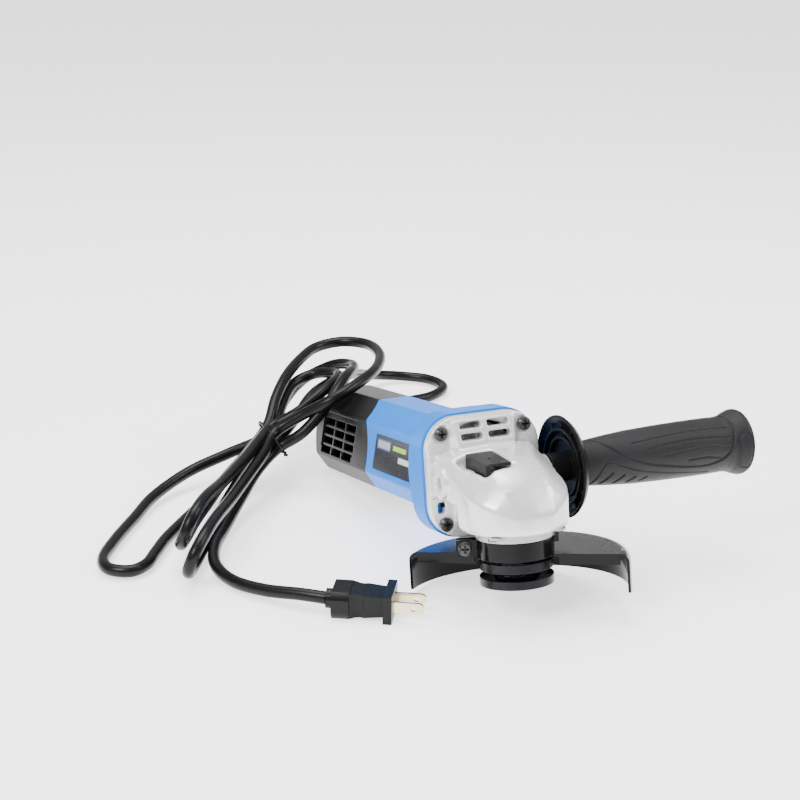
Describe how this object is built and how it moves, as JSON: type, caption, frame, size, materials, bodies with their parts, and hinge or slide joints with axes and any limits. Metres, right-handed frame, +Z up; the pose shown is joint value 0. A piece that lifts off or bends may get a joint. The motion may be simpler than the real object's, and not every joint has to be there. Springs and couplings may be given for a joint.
{
  "type": "angle grinder",
  "caption": "Corded angle grinder with a metal gear head, clamped wheel guard, side handle and a mains lead tied in a hank with a plug.",
  "frame": {"origin": "centre of the wheel seat, the lower face of the inner flange, on the spindle's axis", "axes": "+X along the tool towards the gear head, +Y the side the handle is on, +Z up from the bench; the tool rests on its guard's rim and its tail, so the motor axis is tipped 11.2 degrees tail down from +X"},
  "size_m": [0.4454, 0.364, 0.0999],
  "materials": {
    "silver_paint": "satin silver paint on die cast metal",
    "cast_plate": "cast, matt",
    "black_screws": "black oxide, satin",
    "dark_plastic": "fine moulded grain",
    "steel": "ground and turned",
    "spring_steel": "drawn wire",
    "gear_steel": "hardened, oiled",
    "dark_steel": "dark satin, turned",
    "guard_paint": "gloss black paint on pressed sheet",
    "bronze": "sintered",
    "felt": "pressed felt",
    "laminations": "stacked sheet edges",
    "copper": "enamelled copper wire",
    "fan_plastic": "moulded",
    "housing_blue": "satin moulded nylon",
    "cover_black": "satin moulded",
    "carbon": "pressed carbon",
    "grip_rubber": "soft, matt, moulded grooves",
    "cord_jacket": "semi gloss",
    "plated_brass": "bright"
  },
  "bodies": {
    "housing": {"gear_case": "silver_paint", "gear_case_screws": "black_screws", "bearing_cover": "cast_plate", "bearing_cover_screws": "black_screws", "spindle_bearing": "steel", "spindle_bush": "bronze", "felt_seal": "felt", "front_bearing": "steel", "rear_bearing": "steel", "bearing_boot": "dark_plastic", "stator_core": "laminations", "stator_windings": "copper", "air_baffle": "dark_plastic", "motor_housing": "housing_blue", "brush_holders": "bronze", "carbon_brushes": "carbon", "brush_springs": "spring_steel", "switch_body": "dark_plastic", "rear_cover": "cover_black", "rear_cover_screws": "black_screws", "cord_clamp": "dark_plastic", "cord_boot": "cord_jacket", "cord": "cord_jacket", "cord_tie": "cord_jacket", "plug_body": "cord_jacket", "plug_blades": "plated_brass", "rating_panel": "cover_black"},
    "spindle": {"spindle": "steel", "spindle_gear": "gear_steel", "spindle_bearing_race": "steel", "inner_flange": "dark_steel"},
    "armature": {"pinion": "gear_steel", "pinion_nut": "steel", "armature_shaft": "steel", "armature_core": "laminations", "armature_winding": "copper", "commutator": "copper", "fan": "fan_plastic", "front_bearing_race": "steel", "rear_bearing_race": "steel"},
    "nut": {"flange_nut": "dark_steel"},
    "guard": {"guard": "guard_paint", "guard_band": "guard_paint", "guard_clamp_screw": "black_screws", "guard_clamp_nut": "black_screws"},
    "lock": {"lock_button": "dark_plastic", "lock_pin": "steel", "lock_spring": "spring_steel"},
    "power_slide": {"slide_button": "dark_plastic", "slide_rod": "fan_plastic"},
    "side_handle": {"handle_core": "cover_black", "handle_grip": "grip_rubber", "handle_stud": "steel"}
  },
  "joints": [
    {"name": "armature_spin", "type": "hinge", "parent": "housing", "child": "armature", "pos_m": [-0.00906, 0, 0.04591], "axis": [0.9811, 0, 0.1936], "continuous": true},
    {"name": "spindle_spin", "type": "hinge", "parent": "housing", "child": "spindle", "pos_m": [0, 0, 0], "axis": [-0.1936, 0, 0.9811], "continuous": true},
    {"name": "nut_unscrew", "type": "slide", "parent": "spindle", "child": "nut", "axis": [0.1936, 0, -0.9811], "range_m": [-0.002, 0.008]},
    {"name": "guard_turn", "type": "hinge", "parent": "housing", "child": "guard", "pos_m": [0, 0, 0], "axis": [-0.1936, 0, 0.9811], "range_deg": [-110, 15]},
    {"name": "lock_press", "type": "slide", "parent": "housing", "child": "lock", "axis": [0.1936, 0, -0.9811], "range_m": [0, 0.0025], "deforming": ["lock_spring"]},
    {"name": "power_slide_forward", "type": "slide", "parent": "housing", "child": "power_slide", "axis": [0.9811, 0, 0.1936], "range_m": [0, 0.006]},
    {"name": "handle_unscrew", "type": "slide", "parent": "housing", "child": "side_handle", "axis": [0, 1, 0], "range_m": [0, 0.025]}
  ],
  "couplings": [
    {"joint": "spindle_spin", "follows": "armature_spin", "ratio": -0.32432}
  ]
}
